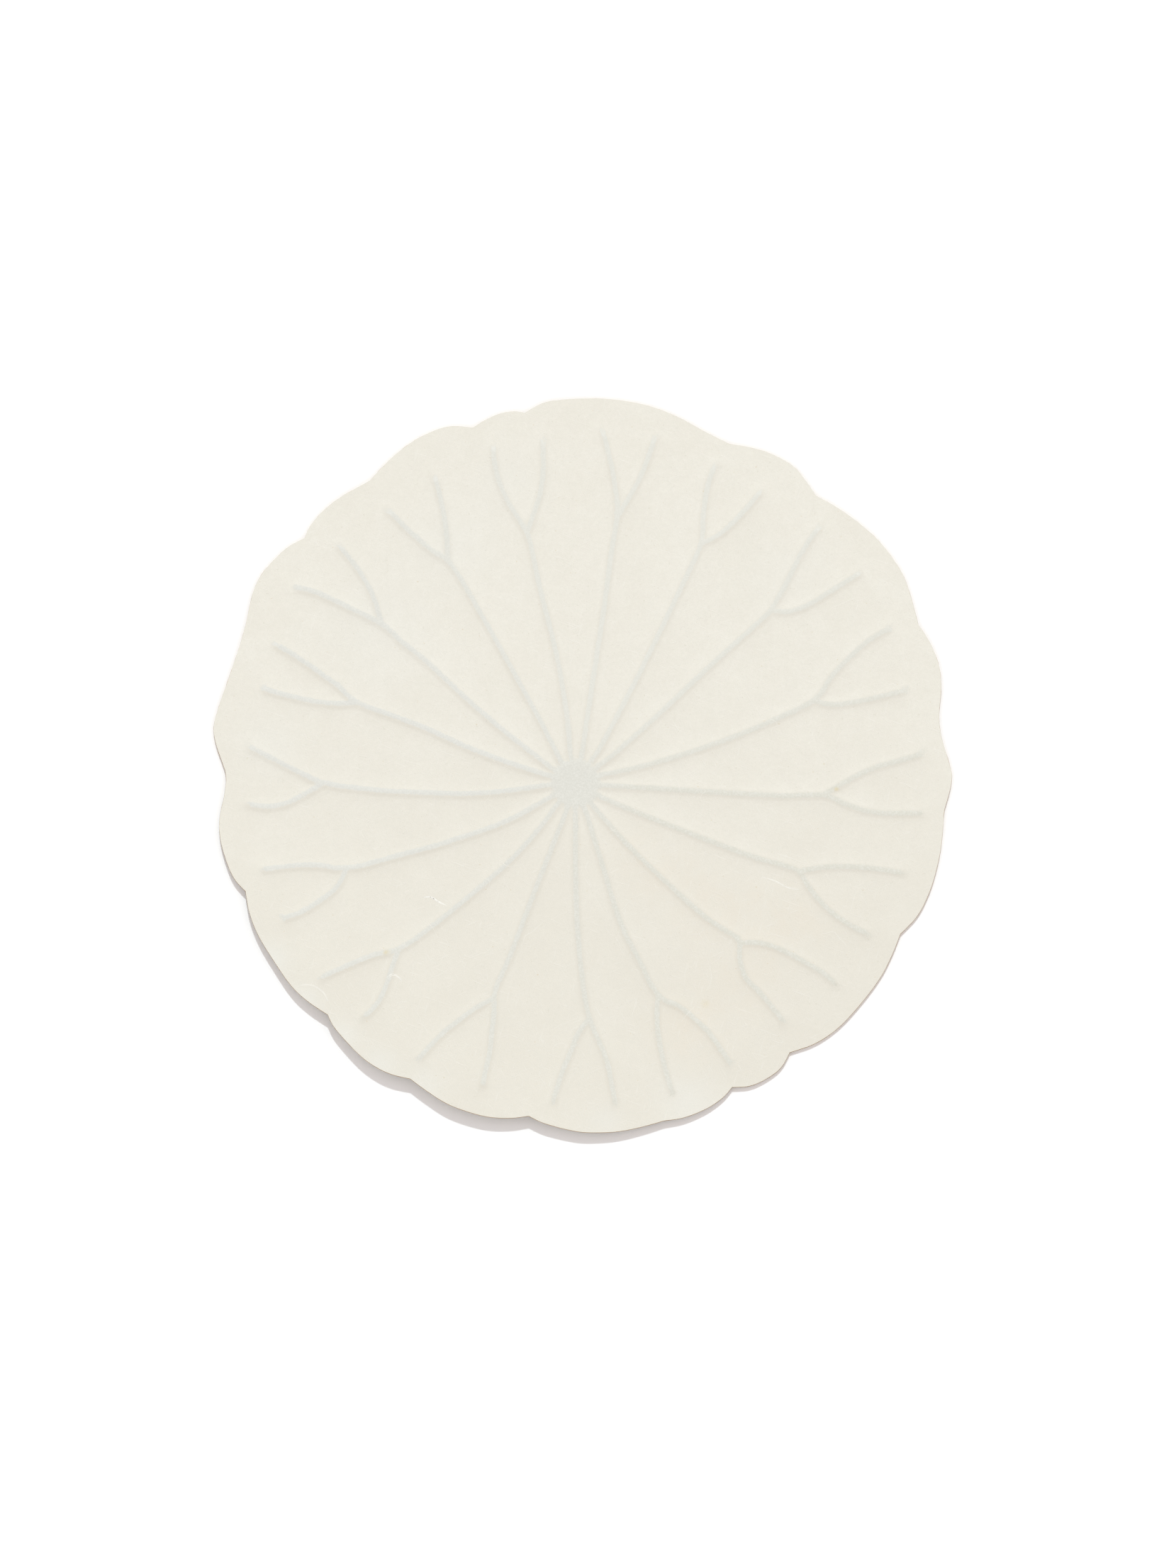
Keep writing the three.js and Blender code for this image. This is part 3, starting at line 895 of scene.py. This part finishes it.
def washi_material():
    """The paper on top: unbleached, long-fibred, and cooler and smoother where it covers the cords, with
    painted light towards the window, painted shade beside the cords and painted highlights and shade at
    their ends.
    """
    n = Nodes("washi_paper")
    cloud = n.noise(30 * MM, 3)
    mottle = n.noise(5 * MM, 4)
    grit = n.noise(1.6 * MM, 4, rough=0.7)
    tooth = n.noise(0.7 * MM, 5, rough=0.6)
    fibres = fibre_pattern(n)
    # Painted light: the paper is painted lighter towards the far side of the mat, where the window is, and
    # darker towards the near side.
    across = n.new("ShaderNodeSeparateXYZ", {0: n.coords}).outputs["Y"]
    painted_window_light = n.span(across, -140 * MM, 70 * MM)
    dull = n.mix(painted_window_light, finish_of(236, 231.2, 218.6), finish_of(241.6, 237.6, 226))
    clear = n.mix(painted_window_light, finish_of(238.6, 234.2, 222), finish_of(243.8, 240.2, 229.2))
    body = n.mix(n.span(cloud, 0.3, 0.7), dull, clear)
    body = n.mix(n.span(mottle, 0.3, 0.72, 0.0, 0.3), body, finish_of(234.5, 230.1, 218))
    body = n.mix(n.span(grit, 0.32, 0.68, 0.0, 0.3), body, finish_of(229, 226, 214))
    body = n.mix(n.painted("pale"), body, finish_of(241, 240.5, 233))
    warm = n.math("MULTIPLY", n.painted("warm"), n.span(n.noise(9 * MM, 4), 0.35, 0.65, 0.3, 1), clamp=True)
    body = n.mix(warm, body, finish_of(237.5, 230.5, 216))
    body = n.mix(n.math("MULTIPLY", fibres, 0.35), body, finish_of(247, 244, 235))
    pores = n.span(n.noise(1.1 * MM, 1), 0.30, 0.22, 0, 0.5)
    body = n.mix(pores, body, finish_of(224, 220, 205))
    fleck = n.span(n.noise(1.3 * MM, 1), 0.76, 0.82, 0, 0.35)
    body = n.mix(fleck, body, finish_of(214, 190, 140))

    # Painted shade beside each cord.
    colour = n.mix(n.painted("painted_shade_beside_cord"), body, (0.94, 0.935, 0.93, 1), "MULTIPLY")
    # The cords' tint, partly their own and partly a painted bluish sheen, then painted lighter on the
    # window side of the hub.
    cord_tint_and_painted_light = n.mix(n.painted("blue_tint_and_sheen"), finish_of(226, 224, 212), finish_of(227.6, 227, 219.8))
    cord_tint_and_painted_light = n.mix(n.painted("light"), cord_tint_and_painted_light, finish_of(231.8, 230.8, 221.5))
    speckle = n.noise(0.9 * MM, 3, rough=0.7)
    cord_tint_and_painted_light = n.mix(n.span(speckle, 0.4, 0.66, 0, 0.65), cord_tint_and_painted_light, finish_of(238, 236.8, 228.5))
    # Painted highlight on each cord's far end, towards the window, and painted shade on its near end.
    cord_tint_and_painted_light = n.mix(n.math("MULTIPLY", n.painted("tip_highlight_and_shade"), 0.9, clamp=True), cord_tint_and_painted_light, finish_of(248, 247, 240))
    cord_tint_and_painted_light = n.mix(n.math("MULTIPLY", n.painted("tip_highlight_and_shade"), -0.6, clamp=True), cord_tint_and_painted_light, finish_of(208, 203, 188))
    over = n.math("ADD", n.painted("over_cord"), n.span(n.noise(0.8 * MM, 2), 0.3, 0.7, -0.22, 0.22))
    over = n.math("ADD", over, n.span(n.noise(3 * MM, 2), 0.3, 0.7, -0.12, 0.12))
    colour = n.mix(n.span(over, 0.15, 0.85), colour, cord_tint_and_painted_light)
    colour = n.mix(n.painted("fleck"), colour, finish_of(230, 212, 162))
    colour = n.mix(n.painted("cut"), colour, finish_of(190, 158, 116))

    relief = n.math("ADD", tooth, n.math("MULTIPLY", fibres, 0.5))
    relief = n.math("ADD", relief, n.math("MULTIPLY", mottle, 1.2))
    rough = n.span(tooth, 0.3, 0.7, 0.82, 0.95)
    return n.done(colour, rough, n.bump(relief, 0.05 * MM), Specular_IOR_Level=0.25)


def lining_material():
    n = Nodes("lining_paper")
    mottle = n.noise(4 * MM, 5, rough=0.65)
    tooth = n.noise(0.8 * MM, 5, rough=0.6)
    fibres = fibre_pattern(n)
    body = n.mix(n.span(mottle, 0.3, 0.7), finish_of(231, 225.5, 209.5), finish_of(236, 231, 216.5))
    colour = n.mix(n.math("MULTIPLY", fibres, 0.35), body, finish_of(243, 240, 231))
    relief = n.math("ADD", tooth, n.math("MULTIPLY", fibres, 0.5))
    rough = n.span(tooth, 0.3, 0.7, 0.82, 0.95)
    return n.done(colour, rough, n.bump(relief, 0.05 * MM), Specular_IOR_Level=0.25)


def fibre_material():
    n = Nodes("loose_fibre")
    tone = n.noise(1.5 * MM, 3)
    plain = n.mix(n.span(tone, 0.3, 0.7), finish_of(236, 232, 220), finish_of(241, 237.5, 227))
    colour = n.mix(n.painted("bright"), plain, finish_of(253, 251, 243))
    rough = n.span(tone, 0.3, 0.7, 0.7, 0.85)
    return n.done(colour, rough, n.bump(n.noise(0.3 * MM, 3), 0.02 * MM), Specular_IOR_Level=0.35)


def board_material():
    n = Nodes("straw_board")
    pulp = n.noise(1.1 * MM, 5, rough=0.65)
    plies = n.noise(1.0, 3, n.stretched(0, (4 * MM, 4 * MM, 0.16 * MM)))
    speck = n.span(n.noise(0.6 * MM, 2), 0.66, 0.74)
    colour = n.mix(n.span(pulp, 0.3, 0.7), finish_of(172, 136, 92), finish_of(196, 163, 118))
    colour = n.mix(n.span(plies, 0.35, 0.65, 0, 0.4), colour, finish_of(154, 118, 76))
    colour = n.mix(n.math("MULTIPLY", speck, 0.6), colour, finish_of(136, 112, 80))
    relief = n.math("ADD", pulp, plies)
    rough = n.span(pulp, 0.3, 0.7, 0.88, 1.0)
    return n.done(colour, rough, n.bump(relief, 0.06 * MM), Specular_IOR_Level=0.2)


def cord_material():
    n = Nodes("twisted_cord")
    pulp = n.noise(0.8 * MM, 4, rough=0.65)
    colour = n.mix(n.span(pulp, 0.3, 0.7), finish_of(222, 221, 212), finish_of(236, 235, 227))
    rough = n.span(pulp, 0.3, 0.7, 0.85, 0.95)
    return n.done(colour, rough, n.bump(pulp, 0.05 * MM), Specular_IOR_Level=0.25)


def card_material():
    n = Nodes("pale_card")
    pulp = n.noise(1.2 * MM, 5, rough=0.65)
    speck = n.span(n.noise(0.7 * MM, 2), 0.68, 0.75)
    colour = n.mix(n.span(pulp, 0.3, 0.7), finish_of(222, 221, 211), finish_of(233, 232, 223))
    colour = n.mix(n.math("MULTIPLY", speck, 0.5), colour, finish_of(196, 192, 178))
    rough = n.span(pulp, 0.3, 0.7, 0.85, 0.95)
    return n.done(colour, rough, n.bump(pulp, 0.05 * MM), Specular_IOR_Level=0.25)


def floor_material():
    n = Nodes("pale_table")
    grain = n.noise(60 * MM, 4)
    colour = n.mix(n.span(grain, 0.3, 0.7), (0.94, 0.94, 0.94, 1), (0.955, 0.955, 0.955, 1))
    rough = n.span(grain, 0.3, 0.7, 0.7, 0.8)
    return n.done(colour, rough, n.bump(grain, 0.01 * MM), Specular_IOR_Level=0.0)


# ---------------------------------------------------------------- the setting


def make_camera():
    """A long lens, nearly straight above."""
    lens = bpy.data.cameras.new("camera")
    lens.sensor_width = SENSOR
    lens.lens = SENSOR * VIEW_DISTANCE / VIEW_HEIGHT
    lens.clip_start, lens.clip_end = 0.1, 50
    camera = bpy.data.objects.new("camera", lens)
    bpy.context.scene.collection.objects.link(camera)
    aim = Vector((HUB[0] + VIEW_OFFSET[0], HUB[1] + VIEW_OFFSET[1], FACE_HIGH))
    back = Vector((0, -math.cos(VIEW_ELEVATION), math.sin(VIEW_ELEVATION)))
    camera.location = aim + back * VIEW_DISTANCE
    camera.rotation_mode = "QUATERNION"
    camera.rotation_quaternion = (-back).to_track_quat("-Z", "Y")
    bpy.context.scene.camera = camera


def make_sun():
    """A soft window on the far side of the mat."""
    lamp = bpy.data.lights.new("window", "SUN")
    lamp.energy = LIGHT_LEVEL * SUN_SHARE * math.pi / math.sin(SUN_ELEVATION)
    lamp.color = SUN_TINT
    lamp.angle = SUN_SIZE
    sun = bpy.data.objects.new("window", lamp)
    bpy.context.scene.collection.objects.link(sun)
    away = Vector((0, -math.cos(SUN_ELEVATION), -math.sin(SUN_ELEVATION)))
    sun.rotation_mode = "QUATERNION"
    sun.rotation_quaternion = away.to_track_quat("-Z", "Y")


def make_sky():
    """A plain white tent, which gives the rest of the light."""
    world = bpy.data.worlds.new("tent")
    world.use_nodes = True
    bpy.context.scene.world = world
    nodes, links = world.node_tree.nodes, world.node_tree.links
    back = nodes["Background"]
    way = nodes.new("ShaderNodeTexCoord").outputs["Generated"]
    split = nodes.new("ShaderNodeSeparateXYZ")
    links.new(way, split.inputs[0])
    rise = nodes.new("ShaderNodeMapRange")
    rise.interpolation_type = "SMOOTHSTEP"
    links.new(split.outputs["Z"], rise.inputs["Value"])
    sockets = ("From Min", "From Max", "To Min", "To Max")
    for socket, value in zip(sockets, (*SKY_RISE, SKY_LOW, SKY_HIGH)):
        rise.inputs[socket].default_value = value
    links.new(rise.outputs["Result"], back.inputs["Strength"])
    back.inputs["Color"].default_value = (*SKY_TINT, 1)


FLOOR_REACH = 6.0
FLOOR_GAP = 0.02 * MM


def make_floor():
    """The pale table that the mat lies on."""
    count = 64
    turn = np.arange(count) * math.tau / count
    points = [(FLOOR_REACH * math.cos(t), FLOOR_REACH * math.sin(t), -FLOOR_GAP) for t in turn]
    mesh = bpy.data.meshes.new("table_top")
    mesh.from_pydata(points, [], [tuple(range(count))])
    floor = bpy.data.objects.new("table_top", mesh)
    bpy.context.scene.collection.objects.link(floor)
    floor.data.materials.append(floor_material())


def dress(piece, material, slot, *nodes):
    """Gives a piece its material, hangs it under the root and hides the CAD nodes that it stands for. The
    slot is not used.
    """
    piece.data.materials.append(material)
    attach(piece, ROOT)
    if nodes:
        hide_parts(*nodes)


make_camera()
face = make_face()
fibres = make_fibres()
board = make_board()
lining = make_lining()
cords = make_cords()
disc = make_disc()

dress(face, washi_material(), "top_washi", "top_washi")
dress(fibres, fibre_material(), "top_washi")
dress(board, board_material(), "core_board", "core_board")
dress(lining, lining_material(), "back_washi", "back_washi")
dress(cords, cord_material(), "vein_cord", *(n for n in sorted(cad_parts) if n.startswith("vein_")))
dress(disc, card_material(), "hub_card", "hub_disc")

make_floor()
make_sun()
make_sky()
bpy.context.scene.view_settings.view_transform = "Standard"
